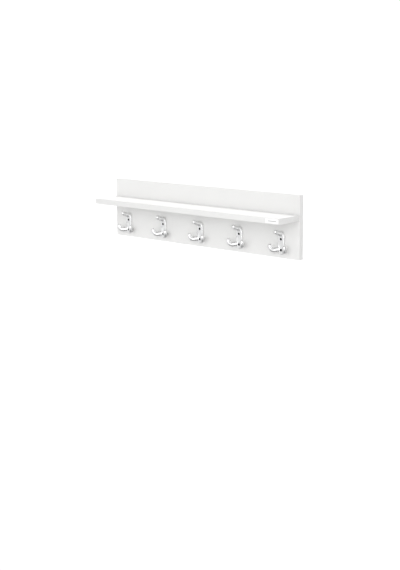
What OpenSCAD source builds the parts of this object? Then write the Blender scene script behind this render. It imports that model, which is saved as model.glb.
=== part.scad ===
// Wall hook rack: a laminated back panel, a shelf on its front and five triple coat hooks.
// X runs along the wall, -Y faces the room and +Z is up. The origin is the centre of the
// panel's rear face, which lies against the wall. Every size is in millimetres.

/* [Boards] */
// Length of the back panel along the wall
panel_w = 800; // [780:10:1000]
// Height of the back panel
panel_h = 200; // [196:2:260]
// Thickness of the panel and the shelf
board_t = 18; // [16:1:25]
// How far the shelf stands out from the panel
shelf_d = 100; // [80:5:160]
// Height of the shelf's top face above the panel's lower edge
shelf_top = 138; // [134:1:140]
// How much shorter the shelf is than the panel at each end
shelf_inset = 1.5; // [0:0.5:10]
// Thickness of the band glued on the boards' raw edges
band_t = 1; // [0.4:0.1:2]

/* [Hook places] */
// Distance from the panel's ends to the outer hooks' centre lines
hook_margin = 66; // [50:1:90]
// Height of the hooks' lower screws above the panel's lower edge
hook_low = 25.5; // [20:0.5:28]
// Distance between the two screws of a hook
screw_gap = 34; // [32:0.5:38]

/* [Hook shape] */
// Width of the backplate
plate_w = 23; // [22:0.5:26]
// Thickness of the backplate
plate_t = 7; // [6:0.5:8]
// Length of the backplate below the lower screw
plate_foot = 13.5; // [12:0.5:16]
// Length of the backplate above the upper screw
plate_head = 18; // [17:0.5:20]
// Diameter of the arm and the prongs
rod_d = 12.8; // [11:0.2:13.4]
// Diameter of a prong where it leaves the backplate
root_d = 14.5; // [14:0.5:16]
// Radius of the upper arm's slow rise
arm_bend_r = 85; // [70:5:120]
// Slope of the upper arm at its tip, in degrees
arm_tip_a = 27; // [24:1:32]
// Height of the upper arm's root above the upper screw
arm_root = 16.5; // [15:0.5:18]
// Direction of the prongs, in degrees to each side of straight ahead
prong_spread = 41; // [38:1:45]
// Straight stretch of a prong before its bend
prong_run = 14.7; // [14.5:0.2:17.1]
// Radius of a prong's bend
prong_bend_r = 13; // [12:0.5:17]
// Straight rise of a prong after its bend
prong_rise = 1.4; // [0.4:0.2:6]
// Drop of the prongs' bends below the lower screw
prong_drop = 0.4; // [0:0.2:3]

/* [Fittings] */
// Distance from the centre to each keyhole plate along the wall
hanger_x = 300; // [200:10:320]
// Height of the keyhole plates above the panel's centre
hanger_z = 68; // [66:1:72]
// Diameter of a keyhole's round entry
keyhole_d = 10; // [9:0.5:11]
// Width of a keyhole's slot
slot_w = 5; // [4:0.5:6]
// Width of the blank label on the shelf's front edge
label_w = 48; // [30:1:60]

/* [Hidden] */
$fn = 48;
HOOKS = 5;

// Boards
core_w = panel_w - 2 * band_t;
core_h = panel_h - 2 * band_t;
shelf_w = panel_w - 2 * shelf_inset;
shelf_z = shelf_top - panel_h / 2 - board_t / 2;
over = 1;             // how far a cutting body runs past the face that it cuts

// Hooks
hook_pitch = (panel_w - 2 * hook_margin) / (HOOKS - 1);
hook_z = hook_low - panel_h / 2;
edge_r = 1;           // rounding of the backplate's front edge
edge_step = 15;       // degrees between the rounding's corners
ball_gain = 0.25;     // how much a tip's ball stands out all round its prong
prong_root_x = 8.8;   // sideways place of a prong's root
prong_root_y = 2.6;   // how far a prong's root stands out from the panel
prong_dip = 8;        // slope down from a prong's root to its bend
root_depth = 2;       // how far a prong starts behind its root
flare_len = 14;       // how far out a prong is still thicker than its rod
arm_depth = 5;        // how far the upper arm starts in front of the panel
arm_root_a = 4;       // slope of the upper arm's arc at the panel's face
prong_tip_a = 84;     // slope of a prong at its tip

// Small countersunk screws
screw_d = 4;
screw_minor_d = 2.8;
screw_head_d = 7.4;
head_rim = 0.3;       // height of a screw head's straight rim
recess_span = 3.6;    // length of each arm-to-arm slot of the cross recess
recess_w = 1.1;       // width of those slots
recess_depth = 1.5;
shank_gap = 0.2;      // play round a screw's shank in a metal part
hook_screw_len = 20;
hanger_screw_len = 13;
thread_pitch = 1.3;

// Shelf screws
confirmat_d = 7;
confirmat_minor_d = 4.8;
confirmat_head_d = 9.8;
confirmat_len = 50;
confirmat_sunk = 0.5; // how far the head lies below the panel's rear face
confirmat_shank = 15; // smooth length under the head
confirmat_pitch = 3;
hex_socket = 4;
CONFIRMAT_X = [-345, -115, 115, 345];

// Dowels
dowel_d = 8;
dowel_len = 30;
dowel_in_panel = 10;
dowel_gap = 1;        // glue space at each end of a dowel
FLUTES = 12;
DOWEL_X = [-230, 0, 230];

// Keyhole plates
hanger_l = 50;
hanger_w = 18;
hanger_t = 2;
hanger_sunk = 0.3;    // how far a plate lies below the panel's rear face
hanger_play = 0.25;   // play round a plate in its pocket
hanger_screw_z = 19;  // distance from a plate's centre to each of its screws
entry_z = -5;         // height of the round entry's centre
slot_top_z = 7;       // height of the slot's upper end
cavity_w = 13;
cavity_half = 12.5;   // half the height of the space for the wall screw's head
cavity_depth = 9.5;

// Label
label_h = 14;
label_t = 0.2;
label_end_gap = 3;

WHITE = [0.95, 0.95, 0.94];
CHROME = [0.86, 0.87, 0.88];
BLACK = [0.13, 0.13, 0.14];
ZINC = [0.72, 0.73, 0.72];
BEECH = [0.85, 0.70, 0.50];

// ---------- shared shapes ----------

// A box given by its centre in X and Z and by its front and rear faces in Y
module slab(w, h, y_front, y_rear) {
    translate([-w / 2, y_front, -h / 2]) cube([w, y_rear - y_front, h]);
}

// A round bar along Y from the front face to the rear face
module bar_y(d, y_front, y_rear, d_rear = undef) {
    r2 = is_undef(d_rear) ? d / 2 : d_rear / 2;
    translate([0, y_front, 0]) rotate([-90, 0, 0]) cylinder(h = y_rear - y_front, r1 = d / 2, r2 = r2);
}

// An upright slot: round ends w wide, half the height from its centre to its ends
module slot_y(w, half, y_front, y_rear) {
    slab(w, 2 * half - w, y_front, y_rear);
    for (s = [-1, 1]) translate([0, 0, s * (half - w / 2)]) bar_y(w, y_front, y_rear);
}

// A round rod bent upwards on an arc in the YZ plane. It is level at angle 0, where its
// centre line passes through the origin, and it runs towards the room.
module rising_rod(bend_r, d, a0, a1) {
    translate([0, 0, bend_r]) rotate([0, 90, 180]) rotate([0, 0, a0])
        rotate_extrude(angle = a1 - a0) translate([bend_r, 0]) circle(d = d);
}

// A screw of revolution that points along +Y, its head's face at y = 0
module screw_body(d, minor_d, head_d, len, shank, pitch) {
    cone = (head_d - d) / 2;
    start = head_rim + cone + shank;
    tip = d;
    turns = floor((len - tip - start) / pitch);
    thread = [for (i = [0:turns - 1], s = [0, 1])
        [s == 0 ? minor_d / 2 : d / 2, -(start + (i + s / 2) * pitch)]];
    outline = concat(
        [[0, 0], [head_d / 2, 0], [head_d / 2, -head_rim], [d / 2, -head_rim - cone], [d / 2, -start]],
        thread,
        [[minor_d / 2, -(len - tip)], [0, -len]]
    );
    rotate([90, 0, 0]) rotate_extrude() polygon(outline);
}

// A cross recess sunk into a screw head whose face is at y = 0
module cross_recess() {
    for (a = [0, 90]) rotate([0, a, 0]) slab(recess_span, recess_w, -over, recess_depth);
}

// The hole that a countersunk screw needs in a metal part whose face is at y = 0
module countersunk_hole(depth) {
    hole_d = screw_d + 2 * shank_gap;
    mouth_d = screw_head_d + 2 * shank_gap;
    bar_y(hole_d, 0, depth);
    bar_y(mouth_d, -over, head_rim);
    bar_y(mouth_d, head_rim, head_rim + (mouth_d - hole_d) / 2, hole_d);
}

module small_screw(len) {
    color(BLACK) difference() {
        screw_body(screw_d, screw_minor_d, screw_head_d, len, 1, thread_pitch);
        cross_recess();
    }
}

// ---------- boards ----------

module at_each_hook() {
    for (i = [0:HOOKS - 1]) translate([(i - (HOOKS - 1) / 2) * hook_pitch, 0, hook_z]) children();
}

module at_hanger_centres() {
    for (s = [-1, 1]) translate([s * hanger_x, 0, hanger_z]) children();
}

// The pocket of a keyhole plate, with the space for a wall screw's head behind it
module hanger_pocket() {
    slot_y(hanger_w + 2 * hanger_play, hanger_l / 2 + hanger_play, -hanger_sunk - hanger_t, over);
    slot_y(cavity_w, cavity_half, -cavity_depth, 0);
    for (s = [-1, 1]) translate([0, 0, s * hanger_screw_z])
        bar_y(screw_d, -hanger_sunk - hanger_screw_len, 0);
}

// The hole of a shelf screw in the panel, with its countersink
module confirmat_panel_hole() {
    seat = confirmat_sunk + head_rim;
    sink = (confirmat_head_d - confirmat_d) / 2;
    bar_y(confirmat_d, -board_t - over, 0);
    bar_y(confirmat_head_d, -seat, over);
    bar_y(confirmat_d, -seat - sink, -seat, confirmat_head_d);
}

module back_panel() {
    color(WHITE) difference() {
        slab(core_w, core_h, -board_t, 0);
        for (x = CONFIRMAT_X) translate([x, 0, shelf_z]) confirmat_panel_hole();
        for (x = DOWEL_X) translate([x, 0, shelf_z])
            bar_y(dowel_d, -board_t - over, -board_t + dowel_in_panel);
        at_each_hook() for (z = [0, screw_gap]) translate([0, 0, z])
            bar_y(screw_d, -board_t - over, -board_t - plate_t + hook_screw_len);
        at_hanger_centres() hanger_pocket();
    }
}

module panel_band_long(side) {
    color(WHITE) translate([0, 0, side * (panel_h - band_t) / 2]) slab(panel_w, band_t, -board_t, 0);
}

module panel_band_short(side) {
    color(WHITE) translate([side * (panel_w - band_t) / 2, 0, 0]) slab(band_t, core_h, -board_t, 0);
}

module shelf_board() {
    color(WHITE) translate([0, 0, shelf_z]) difference() {
        slab(shelf_w - 2 * band_t, board_t, -board_t - shelf_d + band_t, -board_t);
        for (x = CONFIRMAT_X) translate([x, 0, 0])
            bar_y(confirmat_d, -confirmat_sunk - confirmat_len - dowel_gap, -board_t + over);
        for (x = DOWEL_X) translate([x, 0, 0])
            bar_y(dowel_d, -board_t + dowel_in_panel - dowel_gap - dowel_len - dowel_gap, -board_t + over);
    }
}

module shelf_band_front() {
    color(WHITE) translate([0, 0, shelf_z])
        slab(shelf_w, board_t, -board_t - shelf_d, -board_t - shelf_d + band_t);
}

module shelf_band_end(side) {
    color(WHITE) translate([side * (shelf_w - band_t) / 2, 0, shelf_z])
        slab(band_t, board_t, -board_t - shelf_d + band_t, -board_t);
}

module shelf_label() {
    color(WHITE) translate([shelf_w / 2 - label_end_gap - label_w / 2, 0, shelf_z])
        slab(label_w, label_h, -board_t - shelf_d - label_t, -board_t - shelf_d);
}

// ---------- hooks ----------

// Half of the backplate's cross-section: half the width against the depth
function plate_half() = concat(
    [[0, 0], [plate_w / 2, 0]],
    [for (a = [0:edge_step:90])
        [plate_w / 2 - edge_r * (1 - cos(a)), plate_t - edge_r * (1 - sin(a))]],
    [[0, plate_t]]
);

module hook_plate() {
    end_r = plate_w / 2;
    low = -plate_foot + end_r;
    high = screw_gap + plate_head - end_r;
    translate([0, 0, low]) linear_extrude(height = high - low) for (s = [0, 1])
        mirror([s, 0]) mirror([0, 1]) polygon(plate_half());
    translate([0, 0, high]) rotate([90, 0, 0]) rotate_extrude(angle = 180) polygon(plate_half());
    translate([0, 0, low]) rotate([90, 180, 0]) rotate_extrude(angle = 180) polygon(plate_half());
}

module upper_arm() {
    level_y = arm_bend_r * sin(arm_root_a);
    start_a = asin(sin(arm_root_a) + arm_depth / arm_bend_r);
    translate([0, level_y, screw_gap + arm_root]) {
        rising_rod(arm_bend_r, rod_d, start_a, arm_tip_a);
        for (a = [start_a, arm_tip_a])
            translate([0, -arm_bend_r * sin(a), arm_bend_r * (1 - cos(a))])
                sphere(d = rod_d + 2 * ball_gain);
    }
}

// A prong that dips on its way out from the origin, then bends upwards
module prong() {
    turn = prong_dip + prong_tip_a;
    translate([0, -prong_run, 0]) rotate([prong_dip, 0, 0]) {
        bar_y(rod_d, 0, prong_run - flare_len);
        bar_y(rod_d, prong_run - flare_len, prong_run + root_depth, root_d);
        rising_rod(prong_bend_r, rod_d, 0, turn);
        translate([0, -prong_bend_r * sin(turn), prong_bend_r * (1 - cos(turn))])
            rotate([90 - turn, 0, 0]) {
                cylinder(h = prong_rise, d = rod_d);
                translate([0, 0, prong_rise]) sphere(d = rod_d + 2 * ball_gain);
            }
    }
}

// One hook casting, its lower screw hole at the origin of the panel's front face
module hook_casting() {
    reach = 2 * arm_bend_r;
    color(CHROME) difference() {
        union() {
            hook_plate();
            upper_arm();
            for (s = [-1, 1]) translate([s * prong_root_x, -prong_root_y, -prong_drop])
                rotate([0, 0, s * prong_spread]) prong();
        }
        slab(reach, reach, 0, reach);
        for (z = [0, screw_gap]) translate([0, -plate_t, z]) {
            countersunk_hole(plate_t + over);
            bar_y(screw_head_d + 2 * shank_gap, -plate_t, 0);
        }
    }
}

module hook(i) {
    translate([(i - (HOOKS + 1) / 2) * hook_pitch, -board_t, hook_z]) hook_casting();
}

module hook_screw(i, z) {
    translate([(i - (HOOKS + 1) / 2) * hook_pitch, -board_t - plate_t, hook_z + z])
        rotate([0, 11 * i + z, 0]) small_screw(hook_screw_len);
}

// ---------- fittings ----------

module confirmat(i) {
    color(ZINC) translate([CONFIRMAT_X[i - 1], -confirmat_sunk, shelf_z]) rotate([0, 0, 180])
        difference() {
            screw_body(confirmat_d, confirmat_minor_d, confirmat_head_d, confirmat_len,
                confirmat_shank, confirmat_pitch);
            translate([0, -over, 0]) rotate([-90, 0, 0])
                cylinder(h = hex_socket + over, r = hex_socket / sqrt(3), $fn = 6);
        }
}

module dowel(i) {
    half = dowel_len / 2;
    chamfer = 1;
    flute_d = 1;
    centre_y = -board_t + dowel_in_panel - dowel_gap - half;
    color(BEECH) translate([DOWEL_X[i - 1], centre_y, shelf_z]) difference() {
        rotate([90, 0, 0]) rotate_extrude() polygon([
            [0, -half], [dowel_d / 2 - chamfer, -half], [dowel_d / 2, -half + chamfer],
            [dowel_d / 2, half - chamfer], [dowel_d / 2 - chamfer, half], [0, half]
        ]);
        for (k = [0:FLUTES - 1]) rotate([0, k * 360 / FLUTES, 0]) translate([dowel_d / 2, 0, 0])
            bar_y(flute_d, -half - over, half + over);
    }
}

module hanger(side) {
    color(ZINC) translate([side * hanger_x, -hanger_sunk, hanger_z]) difference() {
        slot_y(hanger_w, hanger_l / 2, -hanger_t, 0);
        translate([0, 0, entry_z]) bar_y(keyhole_d, -hanger_t - over, over);
        translate([0, 0, slot_top_z]) bar_y(slot_w, -hanger_t - over, over);
        translate([0, 0, (entry_z + slot_top_z) / 2])
            slab(slot_w, slot_top_z - entry_z, -hanger_t - over, over);
        for (s = [-1, 1]) translate([0, 0, s * hanger_screw_z]) rotate([0, 0, 180])
            countersunk_hole(hanger_t + over);
    }
}

// The screws are counted from the left plate's lower one to the right plate's upper one
module hanger_screw(i) {
    side = i <= 2 ? -1 : 1;
    level = i % 2 == 1 ? -1 : 1;
    translate([side * hanger_x, -hanger_sunk, hanger_z + level * hanger_screw_z])
        rotate([0, 17 * i, 180]) small_screw(hanger_screw_len);
}

// ---------- nodes ----------

back_panel();
panel_band_long(1);  // panel_band_top
panel_band_long(-1);  // panel_band_bottom
panel_band_short(-1);  // panel_band_left
panel_band_short(1);  // panel_band_right
shelf_board();
shelf_band_front();
shelf_band_end(-1);  // shelf_band_left
shelf_band_end(1);  // shelf_band_right
shelf_label();
for (i = [1:HOOKS]) {
    hook(i);
    hook_screw(i, 0);
    hook_screw(i, screw_gap);
}
for (i = [1:4]) confirmat(i);
for (i = [1:3]) dowel(i);
hanger(-1);  // hanger_left
hanger(1);  // hanger_right
for (i = [1:4]) hanger_screw(i);
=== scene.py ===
import math

import bmesh
import bpy
import numpy as np
from mathutils import Matrix, Vector


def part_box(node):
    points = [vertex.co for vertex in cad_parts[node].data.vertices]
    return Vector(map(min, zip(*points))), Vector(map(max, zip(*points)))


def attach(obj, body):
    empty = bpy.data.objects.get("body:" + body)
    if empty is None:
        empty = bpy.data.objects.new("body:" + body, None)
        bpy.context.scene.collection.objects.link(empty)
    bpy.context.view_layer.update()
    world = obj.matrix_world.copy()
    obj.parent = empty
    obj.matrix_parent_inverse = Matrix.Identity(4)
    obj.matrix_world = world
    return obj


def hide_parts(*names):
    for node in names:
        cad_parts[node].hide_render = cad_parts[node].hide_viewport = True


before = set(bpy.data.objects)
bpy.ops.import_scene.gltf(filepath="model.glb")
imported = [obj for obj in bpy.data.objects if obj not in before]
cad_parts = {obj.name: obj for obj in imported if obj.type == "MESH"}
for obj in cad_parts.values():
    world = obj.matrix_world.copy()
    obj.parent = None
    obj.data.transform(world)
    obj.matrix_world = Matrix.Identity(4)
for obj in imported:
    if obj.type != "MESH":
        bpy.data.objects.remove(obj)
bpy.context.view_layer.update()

MM = 0.001
HOOKS = 5
BODY = "root"
QUARTER = math.radians(90)


# ---------- camera ----------

# The camera looks at AIM from DISTANCE metres, round to the rack's right and a little above it.
AZIMUTH = math.radians(41.606)
ELEVATION = math.radians(7.963)
ROLL = math.radians(-0.278)
DISTANCE = 3.289
AIM = Vector((0.0297, -0.018, -0.0031))
LENS = 63.84
SENSOR = 36
SHIFT = (-0.0135, -0.1174)
FAR = 100


def make_camera():
    back = Vector((math.sin(AZIMUTH) * math.cos(ELEVATION),
                   -math.cos(AZIMUTH) * math.cos(ELEVATION),
                   math.sin(ELEVATION)))
    camera = bpy.data.objects.new("camera", bpy.data.cameras.new("camera"))
    camera.data.lens = LENS
    camera.data.sensor_width = SENSOR
    camera.data.shift_x, camera.data.shift_y = SHIFT
    camera.data.clip_end = FAR
    camera.location = AIM + back * DISTANCE
    turn = (-back).to_track_quat("-Z", "Y").to_matrix()
    camera.rotation_euler = (turn @ Matrix.Rotation(ROLL, 3, "Z")).to_euler()
    bpy.context.scene.collection.objects.link(camera)
    bpy.context.scene.camera = camera


# ---------- node graph helpers ----------


class Graph:
    """The node tree of a material or a world, with short calls for the nodes that they share."""

    def __init__(self, owner, shader="Principled BSDF", place="Object"):
        owner.use_nodes = True
        self.owner = owner
        self.tree = owner.node_tree
        self.shader = self.tree.nodes[shader]
        self.place = self.node("ShaderNodeTexCoord").outputs[place]

    def node(self, kind, **settings):
        """A new node of the tree, with its properties set."""
        made = self.tree.nodes.new(kind)
        for key, value in settings.items():
            setattr(made, key, value)
        return made

    def feed(self, socket, value):
        """Links value to the socket, or sets it if it is a plain number or colour."""
        if isinstance(value, bpy.types.NodeSocket):
            self.tree.links.new(value, socket)
        elif isinstance(value, tuple) and len(value) == 3 and socket.type == "RGBA":
            socket.default_value = (*value, 1)
        else:
            socket.default_value = value

    def set(self, **values):
        """Feeds the shader's inputs, an underscore in a keyword standing for a space."""
        for key, value in values.items():
            self.feed(self.shader.inputs[key.replace("_", " ")], value)

    def math(self, operation, a, b):
        made = self.node("ShaderNodeMath", operation=operation)
        self.feed(made.inputs[0], a)
        self.feed(made.inputs[1], b)
        return made.outputs[0]

    def stretched(self, scale):
        """Object coordinates multiplied by scale, for a pattern drawn out along an axis."""
        made = self.node("ShaderNodeMapping")
        self.feed(made.inputs["Vector"], self.place)
        made.inputs["Scale"].default_value = scale
        return made.outputs["Vector"]

    def noise(self, scale, detail, roughness=0.5, vector=None):
        made = self.node("ShaderNodeTexNoise")
        self.feed(made.inputs["Vector"], vector or self.place)
        made.inputs["Scale"].default_value = scale
        made.inputs["Detail"].default_value = detail
        made.inputs["Roughness"].default_value = roughness
        return made.outputs["Fac"]

    def cells(self, scale, output, vector=None):
        made = self.node("ShaderNodeTexVoronoi")
        self.feed(made.inputs["Vector"], vector or self.place)
        made.inputs["Scale"].default_value = scale
        return made.outputs[output]

    def span(self, value, low, high, from_low=0.0, from_high=1.0):
        """Maps value to low at from_low and to high at from_high."""
        made = self.node("ShaderNodeMapRange")
        self.feed(made.inputs["Value"], value)
        for key, number in zip(("From Min", "From Max", "To Min", "To Max"),
                               (from_low, from_high, low, high)):
            made.inputs[key].default_value = number
        return made.outputs["Result"]

    def ramp(self, value, *stops):
        """A colour ramp through stops, each a position and a colour."""
        made = self.node("ShaderNodeValToRGB")
        self.feed(made.inputs["Fac"], value)
        elements = made.color_ramp.elements
        while len(elements) < len(stops):
            elements.new(0.5)
        for element, (position, color) in zip(elements, stops):
            element.position = position
            element.color = (*color, 1)
        return made.outputs["Color"]

    def mix(self, share, a, b):
        made = self.node("ShaderNodeMix", data_type="RGBA")
        self.feed(made.inputs["Factor"], share)
        self.feed(made.inputs["A"], a)
        self.feed(made.inputs["B"], b)
        return made.outputs["Result"]

    def bump(self, height, strength, distance, normal=None):
        made = self.node("ShaderNodeBump")
        self.feed(made.inputs["Height"], height)
        made.inputs["Strength"].default_value = strength
        made.inputs["Distance"].default_value = distance
        if normal is not None:
            self.feed(made.inputs["Normal"], normal)
        return made.outputs["Normal"]


# ---------- materials ----------

WHITE = (0.740, 0.739, 0.732)
OFF_WHITE = tuple(0.985 * channel for channel in WHITE)
SKIN = 0.16 * MM
CHIP_CELLS, CHIP_SHAPE = 420, (0.6, 1.4, 1.0)


def inside_band(graph, axis, low, high):
    """1 where the object coordinate lies between low and high, else 0."""
    split = graph.node("ShaderNodeSeparateXYZ")
    graph.feed(split.inputs[0], graph.place)
    value = split.outputs[axis]
    return graph.math("MULTIPLY", graph.math("GREATER_THAN", value, low),
                      graph.math("LESS_THAN", value, high))


def laminated_board(name, axis, box):
    """White melamine skins on the two faces across axis, with chipboard between them."""
    g = Graph(bpy.data.materials.new(name))
    core = inside_band(g, axis, box[0]["XYZ".index(axis)] + SKIN, box[1]["XYZ".index(axis)] - SKIN)
    mottle = g.noise(14, 4)
    peel = g.noise(1500, 2, 0.45)
    skin = g.ramp(mottle, (0.3, OFF_WHITE), (0.7, WHITE))
    flake = g.cells(CHIP_CELLS, "Color", g.stretched(CHIP_SHAPE))
    fine = g.noise(2600, 5, 0.65)
    hue = g.node("ShaderNodeSeparateColor")
    g.feed(hue.inputs[0], flake)
    tone = g.math("ADD", g.math("MULTIPLY", hue.outputs[0], 0.62), g.math("MULTIPLY", fine, 0.38))
    chips = g.ramp(tone, (0.12, (0.13, 0.075, 0.038)), (0.4, (0.36, 0.24, 0.135)),
                   (0.62, (0.54, 0.39, 0.235)), (0.9, (0.74, 0.60, 0.41)))
    g.set(Base_Color=g.mix(core, skin, chips))
    g.set(Roughness=g.math("ADD", g.span(g.noise(160, 3), 0.34, 0.42), g.math("MULTIPLY", core, 0.45)))
    smooth = g.bump(peel, 0.10, 0.02 * MM)
    edge = g.cells(CHIP_CELLS, "Distance", g.stretched(CHIP_SHAPE))
    rough = g.math("MULTIPLY", g.math("ADD", edge, fine), core)
    g.set(Normal=g.bump(rough, 0.5, 0.5 * MM, smooth))
    return g.owner


def edge_band():
    """White ABS strip: a little glossier than the boards, with the fine drag lines of its trimming."""
    g = Graph(bpy.data.materials.new("white_edge_band"))
    g.set(Base_Color=g.ramp(g.noise(22, 4), (0.3, OFF_WHITE), (0.7, WHITE)))
    g.set(Roughness=g.span(g.noise(240, 3), 0.30, 0.40))
    pearl = g.bump(g.noise(1300, 2, 0.4), 0.12, 0.02 * MM)
    g.set(Normal=g.bump(g.noise(700, 2, 0.5, g.stretched((0.04, 1, 1))), 0.08, 0.02 * MM, pearl))
    return g.owner


def satin_chrome():
    """Bright chrome with a fine satin grain; it darkens where it is seen at a flat angle."""
    g = Graph(bpy.data.materials.new("satin_chrome"))
    g.set(Metallic=1.0, Specular_Tint=(0.45, 0.45, 0.45))
    g.set(Base_Color=g.ramp(g.noise(45, 4), (0.3, (0.880, 0.882, 0.886)), (0.7, (0.915, 0.916, 0.918))))
    g.set(Roughness=g.span(g.noise(190, 5, 0.6), 0.24, 0.34, 0.3, 0.7))
    grain = g.bump(g.noise(3400, 2, 0.5), 0.06, 0.01 * MM)
    g.set(Normal=g.bump(g.noise(110, 2, 0.4), 0.10, 0.12 * MM, grain))
    return g.owner


def black_phosphate():
    """The dull, slightly grainy black of a phosphated screw."""
    g = Graph(bpy.data.materials.new("black_phosphate"))
    g.set(Metallic=0.0, Specular_IOR_Level=0.2, Roughness=g.span(g.noise(2200, 4), 0.42, 0.6))
    speckle = g.noise(1500, 5, 0.6)
    g.set(Base_Color=g.ramp(speckle, (0.3, (0.005, 0.005, 0.005)), (0.72, (0.015, 0.015, 0.016))))
    g.set(Normal=g.bump(g.noise(5200, 3), 0.25, 0.02 * MM))
    return g.owner


def zinc_plate(name, tone):
    """Bright zinc plating with its faint blue to straw tint and small crystals."""
    g = Graph(bpy.data.materials.new(name))
    g.set(Metallic=1.0)
    crystal = g.cells(520, "Color")
    split = g.node("ShaderNodeSeparateColor")
    g.feed(split.inputs[0], crystal)
    tint = g.math("ADD", g.math("MULTIPLY", split.outputs[0], 0.4), g.math("MULTIPLY", g.noise(90, 4), 0.6))
    g.set(Base_Color=g.ramp(tint, (0.25, (tone * 0.90, tone * 0.94, tone)),
                            (0.5, (tone, tone, tone * 0.98)), (0.75, (tone, tone * 0.98, tone * 0.88))))
    g.set(Roughness=g.span(split.outputs[1], 0.26, 0.44))
    g.set(Normal=g.bump(g.noise(1800, 4), 0.14, 0.03 * MM))
    return g.owner


def raw_beech():
    """Beech with its grain along Y, the way the dowels lie."""
    g = Graph(bpy.data.materials.new("raw_beech"))
    along = g.stretched((1, 0.05, 1))
    grain = g.noise(900, 4, 0.6, along)
    g.set(Base_Color=g.ramp(grain, (0.25, (0.50, 0.33, 0.19)), (0.75, (0.72, 0.55, 0.36))))
    g.set(Roughness=g.span(g.noise(1200, 3, 0.5, along), 0.55, 0.75))
    g.set(Normal=g.bump(g.noise(2400, 3, 0.5, along), 0.3, 0.05 * MM))
    return g.owner


def blank_label():
    """A coated white film sticker with one plain grey rule across it and no lettering."""
    g = Graph(bpy.data.materials.new("blank_label"))
    low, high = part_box("shelf_label")
    mid, size = (low + high) / 2, high - low
    rule = g.math("MULTIPLY",
                  inside_band(g, "X", mid.x - 0.30 * size.x, mid.x + 0.36 * size.x),
                  inside_band(g, "Z", mid.z - 0.10 * size.z, mid.z + 0.06 * size.z))
    ink = g.ramp(g.noise(4000, 2), (0.3, (0.42, 0.42, 0.42)), (0.7, (0.47, 0.47, 0.47)))
    g.set(Base_Color=g.mix(rule, (0.91, 0.91, 0.91), ink))
    g.set(Roughness=g.span(g.noise(300, 3), 0.28, 0.36))
    g.set(Normal=g.bump(g.noise(500, 2), 0.05, 0.03 * MM))
    return g.owner


# ---------- mesh helpers ----------

WELD_GAP = 0.002 * MM
MERGE_GAP = 0.001 * MM
FLAT_ANGLE = math.radians(1)
BEVEL_STEPS, BEVEL_ANGLE = 2, math.radians(35)
# The rounding of a band's long corners, at most this share of its thickness, in so many steps.
BAND_ROUND, BAND_ROUND_SHARE, BAND_STEPS = 0.9 * MM, 0.9, 5
# The rounding of a band's ends, and the share of it at which the middle ring lies.
BAND_END, BAND_END_MIDDLE = 0.35 * MM, 0.3


def finished_mesh(name, bm):
    """Turns a closed bmesh into a mesh whose faces all point outwards."""
    bmesh.ops.recalc_face_normals(bm, faces=bm.faces)
    mesh = bpy.data.meshes.new(name)
    bm.to_mesh(mesh)
    bm.free()
    return mesh


def bridge(bm, loops):
    """Joins each loop of vertices to the next with quads."""
    count = len(loops[0])
    for a, b in zip(loops[:-1], loops[1:]):
        for k in range(count):
            bm.faces.new((a[k], a[(k + 1) % count], b[(k + 1) % count], b[k]))


def add_piece(name, mesh, node, material):
    """Links a new piece, which stands for a CAD node and rides on the rack's one body."""
    piece = bpy.data.objects.new(name, mesh)
    bpy.context.scene.collection.objects.link(piece)
    mesh.materials.clear()
    mesh.materials.append(material)
    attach(piece, BODY)
    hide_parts(node)
    return piece


def soften(node, width):
    """Joins a CAD node's flat triangles and bevels its sharp edges, its own mesh left as it is."""
    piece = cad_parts[node]
    weld = piece.modifiers.new("weld", "WELD")
    weld.merge_threshold = WELD_GAP
    flats = piece.modifiers.new("flats", "DECIMATE")
    flats.decimate_type = "DISSOLVE"
    flats.angle_limit = FLAT_ANGLE
    bevel = piece.modifiers.new("bevel", "BEVEL")
    bevel.width = width
    bevel.segments = BEVEL_STEPS
    bevel.limit_method = "ANGLE"
    bevel.angle_limit = BEVEL_ANGLE
    bevel.harden_normals = True


def dress(node, material):
    """Gives a CAD node the one material, in its mesh's one slot."""
    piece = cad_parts[node]
    piece.data.materials.clear()
    piece.data.materials.append(material)


def band_mesh(name, box, out):
    """An edge band: a strip whose two outer long corners are rounded, its glued face sharp.

    out is the unit vector from the board to the band's outer face. The strip runs along the
    longest of its two other directions.
    """
    low, high = box
    size, mid = high - low, (low + high) / 2
    thin = max(range(3), key=lambda k: abs(out[k]))
    long = max((k for k in range(3) if k != thin), key=lambda k: size[k])
    wide = 3 - thin - long
    half_w, half_l, thick = size[wide] / 2, size[long] / 2, size[thin]
    round_r = min(BAND_ROUND, BAND_ROUND_SHARE * thick)
    outline = [(-half_w, 0.0)]
    for side in (-1, 1):
        turns = range(BAND_STEPS + 1) if side < 0 else range(BAND_STEPS, -1, -1)
        for k in turns:
            a = QUARTER * k / BAND_STEPS
            outline.append((side * (half_w - round_r + round_r * math.cos(a)),
                            thick - round_r + round_r * math.sin(a)))
    outline.append((half_w, 0.0))
    part = BAND_END * BAND_END_MIDDLE
    stations = [(-half_l, -BAND_END), (-half_l + part, -part), (-half_l + BAND_END, 0.0)]
    stations += [(half_l - BAND_END, 0.0), (half_l - part, -part), (half_l, -BAND_END)]
    bm = bmesh.new()
    rings = []
    for along, inset in stations:
        ring = []
        for across, up in outline:
            across -= math.copysign(min(-inset, abs(across)), across) if inset else 0
            up = min(up, thick + inset) if up > 0 else 0.0
            place = Vector((0, 0, 0))
            place[long] = mid[long] + along
            place[wide] = mid[wide] + across
            place[thin] = mid[thin] + out[thin] * (up - thick / 2)
            ring.append(bm.verts.new(place))
        rings.append(ring)
    bridge(bm, rings)
    bm.faces.new(rings[0])
    bm.faces.new(reversed(rings[-1]))
    bmesh.ops.remove_doubles(bm, verts=bm.verts, dist=MERGE_GAP)
    mesh = finished_mesh(name, bm)
    mesh.shade_smooth()
    return mesh


# ---------- hook casting ----------

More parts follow.
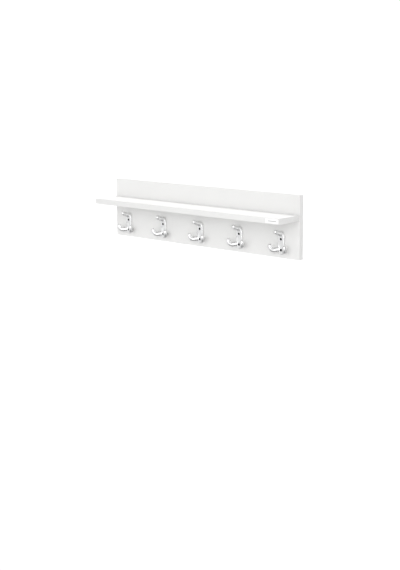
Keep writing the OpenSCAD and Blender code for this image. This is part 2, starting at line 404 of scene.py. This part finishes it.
# Millimetres, measured from a hook's lower screw on the panel's front face; -Y faces the room.
PLATE_W, PLATE_T, PLATE_EDGE = 23.0, 7.0, 1.0
PLATE_FOOT, PLATE_HEAD, SCREW_GAP = 13.5, 18.0, 34.0
CROWN = 0.15
ARM_BEND, ARM_ROOT_A, ARM_TIP_A, ARM_ROOT_Z = 85.0, math.radians(4), math.radians(27), 16.5
ARM_DEPTH = 4.5
PRONG_RUN, PRONG_BEND, PRONG_TIP_A, PRONG_RISE = 14.7, 13.0, math.radians(84), 1.4
PRONG_DIP, PRONG_SPREAD = math.radians(8), math.radians(41)
PRONG_DROP, PRONG_ROOT, PRONG_DEPTH = 0.4, (8.8, 2.6), 2.0
HOLE_R, COUNTERSINK, HEAD_RIM = 3.85, 1.7, 0.3
# Radii along the arm and along a prong, each at its distance from the panel or from the root.
ARM_AT, ARM_RADII = (5, 14, 26, 33), (6.7, 6.4, 6.2, 6.4)
PRONG_AT, PRONG_RADII = (-4, 3, 11, 24, 30), (6.9, 6.9, 6.8, 6.5, 6.4)
ARM_POINTS, BEND_POINTS, RUN_POINTS = 24, 20, 10
# How widely the arm, the prongs, the back face's edge and the screw holes' edges are blended.
ARM_BLEND, PRONG_BLEND, BACK_BLEND, HOLE_BLEND = 6.0, 2.2, 0.4, 0.35
# The space that the casting's mesh is looked for in, and the size of its cells.
SPACE = (-36.4, -46.2, -16.8), (36.4, 2.1, 72.8)
CELL = 0.7
# The search first tries every third point, and then looks closer where the surface may be.
COARSE, NEAR = 3, 2.2
# The found points are pulled onto the surface, along slopes measured over this short step.
PULLS, SLOPE_STEP, LEAST_SLOPE = 3, 0.02, 0.2


def smooth_min(a, b, k):
    """The smaller of two distances, with a fillet about k wide where they are nearly equal."""
    share = np.clip(0.5 + 0.5 * (b - a) / k, 0, 1)
    return b + (a - b) * share - k * share * (1 - share)


def smooth_max(a, b, k):
    return -smooth_min(-a, -b, k)


def rod(p, path, radii):
    """Distance to a round rod along a path, its radius changing from point to point."""
    best = np.full(len(p), np.inf)
    for a, b, ra, rb in zip(path[:-1], path[1:], radii[:-1], radii[1:]):
        ab = b - a
        t = np.clip((p - a) @ ab / (ab @ ab), 0, 1)
        gap = np.linalg.norm(p - a - t[:, None] * ab, axis=1) - (ra + (rb - ra) * t)
        best = np.minimum(best, gap)
    return best


def backplate(p):
    """Distance to the backplate: round ends, rounded front edges, a slightly crowned face."""
    half = PLATE_W / 2
    low, high = -PLATE_FOOT + half, SCREW_GAP + PLATE_HEAD - half
    across = np.hypot(p[:, 0], p[:, 2] - np.clip(p[:, 2], low, high))
    face = PLATE_T - CROWN * np.clip(across / half, 0, 1.2) ** 2
    side = across - (half - PLATE_EDGE)
    depth = -p[:, 1] - (face - PLATE_EDGE)
    outside = np.hypot(np.maximum(side, 0), np.maximum(depth, 0))
    return np.minimum(np.maximum(side, depth), 0) + outside - PLATE_EDGE


def arm_path():
    """The upper arm's centre line and radii, from inside the backplate to the tip."""
    root = math.asin(math.sin(ARM_ROOT_A) + ARM_DEPTH / ARM_BEND)
    angles = np.linspace(root, ARM_TIP_A, ARM_POINTS)
    y = ARM_BEND * (math.sin(ARM_ROOT_A) - np.sin(angles))
    z = SCREW_GAP + ARM_ROOT_Z + ARM_BEND * (1 - np.cos(angles))
    radii = np.interp(-y, ARM_AT, ARM_RADII)
    return np.stack([0 * y, y, z], 1), radii


def prong_path(side):
    """A prong's centre line and radii, from inside the backplate to the tip."""
    angles = np.linspace(-PRONG_DIP, PRONG_TIP_A, BEND_POINTS)
    back = np.linspace(PRONG_RUN + PRONG_DEPTH, 0, RUN_POINTS)[:-1]
    ahead = np.concatenate([PRONG_RUN - back * math.cos(PRONG_DIP),
                            PRONG_RUN + PRONG_BEND * (math.sin(PRONG_DIP) + np.sin(angles))])
    up = np.concatenate([back * math.sin(PRONG_DIP),
                         PRONG_BEND * (math.cos(PRONG_DIP) - np.cos(angles))])
    ahead = np.append(ahead, ahead[-1] + PRONG_RISE * math.cos(PRONG_TIP_A))
    up = np.append(up, up[-1] + PRONG_RISE * math.sin(PRONG_TIP_A))
    radii = np.interp(ahead, PRONG_AT, PRONG_RADII)
    points = np.stack([side * (PRONG_ROOT[0] + ahead * math.sin(PRONG_SPREAD)),
                       -PRONG_ROOT[1] - ahead * math.cos(PRONG_SPREAD), up - PRONG_DROP], 1)
    return points, radii


def hook_distance(p):
    """Distance to the whole casting, negative inside it."""
    body = smooth_min(backplate(p), rod(p, *arm_path()), ARM_BLEND)
    for side in (-1, 1):
        body = smooth_min(body, rod(p, *prong_path(side)), PRONG_BLEND)
    body = smooth_max(body, p[:, 1], BACK_BLEND)
    for z in (0, SCREW_GAP):
        depth = np.clip(p[:, 1] + PLATE_T - HEAD_RIM, 0, COUNTERSINK)
        hole = np.hypot(p[:, 0], p[:, 2] - z) - HOLE_R + depth
        body = smooth_max(body, -hole, HOLE_BLEND)
    return body


def sampled(distance, axes, cell):
    """The distance at every grid point, exact only where the surface may be near."""
    grid = np.stack(np.meshgrid(*[ax[::COARSE] for ax in axes], indexing="ij"), -1)
    value = distance(grid.reshape(-1, 3)).reshape(grid.shape[:3])
    for axis, ax in enumerate(axes):
        value = np.take(np.repeat(value, COARSE, axis), range(len(ax)), axis)
    full = np.stack(np.meshgrid(*axes, indexing="ij"), -1)
    near = np.abs(value) < cell * COARSE * NEAR
    value[near] = distance(full[near])
    return value


def pulled(points, distance, cell):
    """The points moved onto the surface, each along the slope of the distance."""
    for _ in range(PULLS):
        d = distance(points)
        slope = np.stack([distance(points + SLOPE_STEP * e) - d for e in np.eye(3)], 1) / SLOPE_STEP
        move = -d[:, None] * slope / np.maximum((slope ** 2).sum(1), LEAST_SLOPE)[:, None]
        points = points + np.clip(move, -cell / 2, cell / 2)
    return points


def net_surface(distance, low, high, cell):
    """A closed quad mesh of distance = 0, with one point in each cell that the surface crosses.

    Every grid edge that crosses the surface gives a quad, whose corners lie in the four cells
    round the edge, and a crossing point. A cell's corner is the mean of its crossing points.
    """
    axes = [a + cell * np.arange(int(round((b - a) / cell)) + 1) for a, b in zip(low, high)]
    value = sampled(distance, axes, cell)
    inside = value < 0
    shape = [len(ax) - 1 for ax in axes]
    total, hits = np.zeros(shape + [3]), np.zeros(shape)
    quads = []
    for axis in range(3):
        first = tuple(slice(None, -1) if k == axis else slice(None) for k in range(3))
        second = tuple(slice(1, None) if k == axis else slice(None) for k in range(3))
        cross = np.argwhere(inside[first] != inside[second])
        at = tuple(cross.T)
        va, vb = value[first][at], value[second][at]
        place = cross.astype(float)
        place[:, axis] += va / (va - vb)
        u, v = [k for k in range(3) if k != axis]
        corners = []
        for du, dv in ((0, 0), (1, 0), (1, 1), (0, 1)):
            cell_id = cross.copy()
            cell_id[:, u] -= du
            cell_id[:, v] -= dv
            np.add.at(total, tuple(cell_id.T), place)
            np.add.at(hits, tuple(cell_id.T), 1)
            corners.append(cell_id)
        quads.append((corners, inside[first][at] == (axis != 1)))
    used = hits > 0
    index = np.zeros(shape, int)
    index[used] = np.arange(used.sum())
    points = np.array(low) + cell * total[used] / hits[used][:, None]
    faces = []
    for corners, outward in quads:
        quad = np.stack([index[tuple(c.T)] for c in corners], 1)
        quad[~outward] = quad[~outward][:, ::-1]
        faces.append(quad)
    return pulled(points, distance, cell), np.concatenate(faces)


def hook_mesh():
    """The smooth casting that all five hooks share."""
    points, faces = net_surface(hook_distance, *SPACE, CELL)
    mesh = bpy.data.meshes.new("hook_casting")
    mesh.from_pydata((points * MM).tolist(), [], faces.tolist())
    mesh.shade_smooth()
    return mesh


# ---------- the rack ----------

BOARD_EDGE, SHELF_SCREW_EDGE, SMALL_SCREW_EDGE, HANGER_EDGE = 0.12 * MM, 0.12 * MM, 0.07 * MM, 0.1 * MM
LABEL_CORNER, LABEL_STEPS, LABEL_EDGE = 1.6 * MM, 6, 0.05 * MM


def make_boards():
    for node, axis in (("back_panel", "Y"), ("shelf_board", "Z")):
        dress(node, laminated_board(node + "_laminate", axis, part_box(node)))
        soften(node, BOARD_EDGE)


def make_bands():
    material = edge_band()
    outward = {"panel_band_top": (0, 0, 1), "panel_band_bottom": (0, 0, -1),
               "panel_band_left": (-1, 0, 0), "panel_band_right": (1, 0, 0),
               "shelf_band_front": (0, -1, 0), "shelf_band_left": (-1, 0, 0),
               "shelf_band_right": (1, 0, 0)}
    for node, out in outward.items():
        add_piece(node + "_strip", band_mesh(node + "_strip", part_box(node), Vector(out)), node, material)


def make_hooks():
    mesh, material = hook_mesh(), satin_chrome()
    for i in range(1, HOOKS + 1):
        low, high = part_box(f"hook_screw_{i}_low")
        screw = (low + high) / 2
        piece = add_piece(f"hook_casting_{i}", mesh, f"hook_{i}", material)
        piece.matrix_world = Matrix.Translation((screw.x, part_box("back_panel")[0].y, screw.z))


def make_fittings():
    black, screw_zinc = black_phosphate(), zinc_plate("zinc_screw", 0.74)
    plate_zinc, beech = zinc_plate("zinc_hanger", 0.66), raw_beech()
    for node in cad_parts:
        if node.startswith(("hook_screw", "hanger_screw")):
            dress(node, black)
            soften(node, SMALL_SCREW_EDGE)
        elif node.startswith("confirmat"):
            dress(node, screw_zinc)
            soften(node, SHELF_SCREW_EDGE)
        elif node.startswith("hanger"):
            dress(node, plate_zinc)
            soften(node, HANGER_EDGE)
        elif node.startswith("dowel"):
            dress(node, beech)


def make_label():
    """A thin sticker with rounded corners and a softened front edge."""
    low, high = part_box("shelf_label")
    bm = bmesh.new()
    loops = []
    for inset, y in ((0, high.y), (0, low.y + LABEL_EDGE), (LABEL_EDGE, low.y)):
        loop = []
        for quarter in range(4):
            cx = high.x - LABEL_CORNER if quarter in (0, 3) else low.x + LABEL_CORNER
            cz = high.z - LABEL_CORNER if quarter in (0, 1) else low.z + LABEL_CORNER
            for k in range(LABEL_STEPS + 1):
                a = QUARTER * (quarter + k / LABEL_STEPS)
                r = LABEL_CORNER - inset
                loop.append(bm.verts.new((cx + r * math.cos(a), y, cz + r * math.sin(a))))
        loops.append(loop)
    bridge(bm, loops)
    bm.faces.new(reversed(loops[0]))
    bm.faces.new(loops[-1])
    add_piece("blank_sticker", finished_mesh("blank_sticker", bm), "shelf_label", blank_label())


# ---------- stage ----------

FLOOR_Z, FLOOR_HALF = -1.25, 40
# The floor's tone changes from FLOOR_NEAR_SHADE to FLOOR_FAR over this stretch of Y; the darker front is
# painted shade, standing in for a floor left unlit in front of the rack.
FLOOR_SHADE = -1.2, 0.3
FLOOR_NEAR_SHADE, FLOOR_FAR = (0.58, 0.58, 0.58), (0.86, 0.86, 0.86)
STUDIO = 1.14
# Brightness from straight below, at 0, through the horizon, at 0.5, to straight overhead, at 1.
SKY = ((0.0, 0.28), (0.06, 0.32), (0.15, 0.74), (0.28, 0.92), (0.43, 1.0), (0.64, 1.0),
       (0.84, 0.44), (1.0, 0.34))
# Direction, the dot products where each patch starts and is full, and its share of the light.
DARK_PATCHES = (((-0.65, -0.76, 0), 0.55, 0.95, 0.736), ((0.94, 0.34, 0), 0.45, 0.90, 0.42))


def make_world():
    """A white studio, bright round the horizon, darker overhead, straight below and in two patches."""
    g = Graph(bpy.data.worlds.new("studio"), "Background", "Generated")
    split = g.node("ShaderNodeSeparateXYZ")
    g.feed(split.inputs[0], g.place)
    height = g.span(split.outputs["Z"], 0, 1, -1, 1)
    strength = STUDIO
    for toward, start, full, share in DARK_PATCHES:
        dot = g.node("ShaderNodeVectorMath", operation="DOT_PRODUCT")
        g.feed(dot.inputs[0], g.place)
        g.feed(dot.inputs[1], toward)
        strength = g.math("MULTIPLY", g.span(dot.outputs["Value"], 1, share, start, full), strength)
    g.set(Color=g.ramp(height, *((at, (tone, tone, tone)) for at, tone in SKY)), Strength=strength)
    bpy.context.scene.world = g.owner


def make_sun(name, direction, strength, spread):
    """A soft distant light that comes from the given direction, its spread in degrees."""
    lamp = bpy.data.lights.new(name, "SUN")
    lamp.energy = strength
    lamp.angle = math.radians(spread)
    sun = bpy.data.objects.new(name, lamp)
    sun.rotation_euler = Vector(direction).to_track_quat("Z", "Y").to_euler()
    bpy.context.scene.collection.objects.link(sun)


def make_floor():
    """A pale floor that the metal doesn't mirror, with painted shade making it darker in front of the rack
    than behind it.
    """
    mesh = bpy.data.meshes.new("floor")
    corners = [(x * FLOOR_HALF, y * FLOOR_HALF, FLOOR_Z) for x, y in ((-1, -1), (1, -1), (1, 1), (-1, 1))]
    mesh.from_pydata(corners, [], [(0, 1, 2, 3)])
    floor = bpy.data.objects.new("floor", mesh)
    bpy.context.scene.collection.objects.link(floor)
    g = Graph(bpy.data.materials.new("pale_floor"))
    split = g.node("ShaderNodeSeparateXYZ")
    g.feed(split.inputs[0], g.place)
    mottle = g.span(g.noise(0.8, 3), -0.02, 0.02)
    depth = g.math("ADD", g.span(split.outputs["Y"], 0, 1, *FLOOR_SHADE), mottle)
    # Painted shade: the floor's colour darkens toward the front, where a real studio floor would be unlit.
    g.set(Base_Color=g.ramp(depth, (0.0, FLOOR_NEAR_SHADE), (1.0, FLOOR_FAR)))
    g.set(Roughness=0.8)
    mesh.materials.append(g.owner)
    floor.visible_glossy = False


make_camera()
bpy.context.scene.view_settings.view_transform = "Standard"
make_boards()
make_bands()
make_hooks()
make_fittings()
make_label()
make_world()
make_sun("top", (-0.05, 0.26, 0.96), 2.35, 25)
make_sun("front", (0.43, -0.86, 0.27), 1.70, 70)
make_floor()
